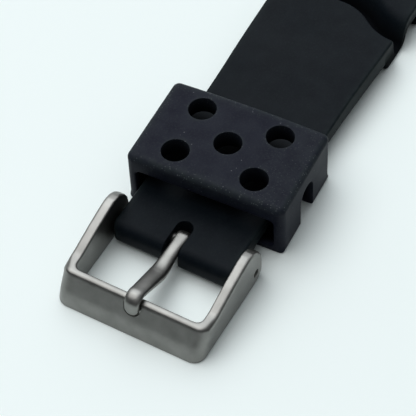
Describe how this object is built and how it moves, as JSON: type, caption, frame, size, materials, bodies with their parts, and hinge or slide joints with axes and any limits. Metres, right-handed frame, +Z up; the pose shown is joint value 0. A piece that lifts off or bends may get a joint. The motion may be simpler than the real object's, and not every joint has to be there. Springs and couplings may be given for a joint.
{
  "type": "rubber dive strap",
  "caption": "Buckle half of a rubber dive strap with a steel pin buckle, a pierced rubber keeper, flexible waves and a straight lug end on a spring bar.",
  "frame": {"origin": "middle of the whole length and of the buckle's width, on the surface that the strap lies on", "axes": "+X along the strap from the buckle to the lug end, +Y across the strap along the buckle's bar, +Z up out of the strap's outer face"},
  "size_m": [0.1029, 0.0288, 0.0113],
  "materials": {
    "strap_rubber": "satin moulded rubber",
    "keeper_rubber": "satin moulded rubber",
    "buckle_steel": "bead-blasted stainless steel",
    "bar_steel": "turned stainless steel",
    "spring_steel": "drawn spring wire"
  },
  "bodies": {
    "strap": {"strap": "strap_rubber", "buckle_bar_tube": "bar_steel", "buckle_bar_spring": "spring_steel", "lug_bar_tube": "bar_steel", "lug_bar_spring": "spring_steel"},
    "buckle": {"buckle_frame": "buckle_steel"},
    "tongue": {"buckle_tongue": "buckle_steel"},
    "keeper": {"keeper": "keeper_rubber"},
    "buckle_pin_left": {"buckle_bar_pin_left": "bar_steel"},
    "buckle_pin_right": {"buckle_bar_pin_right": "bar_steel"},
    "lug_pin_left": {"lug_bar_pin_left": "bar_steel"},
    "lug_pin_right": {"lug_bar_pin_right": "bar_steel"}
  },
  "joints": [
    {"name": "buckle_swing", "type": "hinge", "parent": "strap", "child": "buckle", "pos_m": [-0.033, 0, 0.0026], "axis": [0, 1, 0], "range_deg": [-90, 30]},
    {"name": "tongue_lift", "type": "hinge", "parent": "buckle", "child": "tongue", "pos_m": [-0.033, 0, 0.0026], "axis": [0, 1, 0], "range_deg": [0, 70]},
    {"name": "keeper_slide", "type": "slide", "parent": "strap", "child": "keeper", "axis": [1, 0, 0], "range_m": [0, 0.016]},
    {"name": "buckle_pin_left_press", "type": "slide", "parent": "strap", "child": "buckle_pin_left", "axis": [0, -1, 0], "range_m": [0, 0.0015], "stiffness_N_per_m": 150, "springref_m": -0.002, "deforming": ["buckle_bar_spring"]},
    {"name": "buckle_pin_right_press", "type": "slide", "parent": "strap", "child": "buckle_pin_right", "axis": [0, 1, 0], "range_m": [0, 0.0015], "stiffness_N_per_m": 150, "springref_m": -0.002, "deforming": ["buckle_bar_spring"]},
    {"name": "lug_pin_left_press", "type": "slide", "parent": "strap", "child": "lug_pin_left", "axis": [0, -1, 0], "range_m": [0, 0.0012], "stiffness_N_per_m": 150, "springref_m": -0.002, "deforming": ["lug_bar_spring"]},
    {"name": "lug_pin_right_press", "type": "slide", "parent": "strap", "child": "lug_pin_right", "axis": [0, 1, 0], "range_m": [0, 0.0012], "stiffness_N_per_m": 150, "springref_m": -0.002, "deforming": ["lug_bar_spring"]}
  ]
}
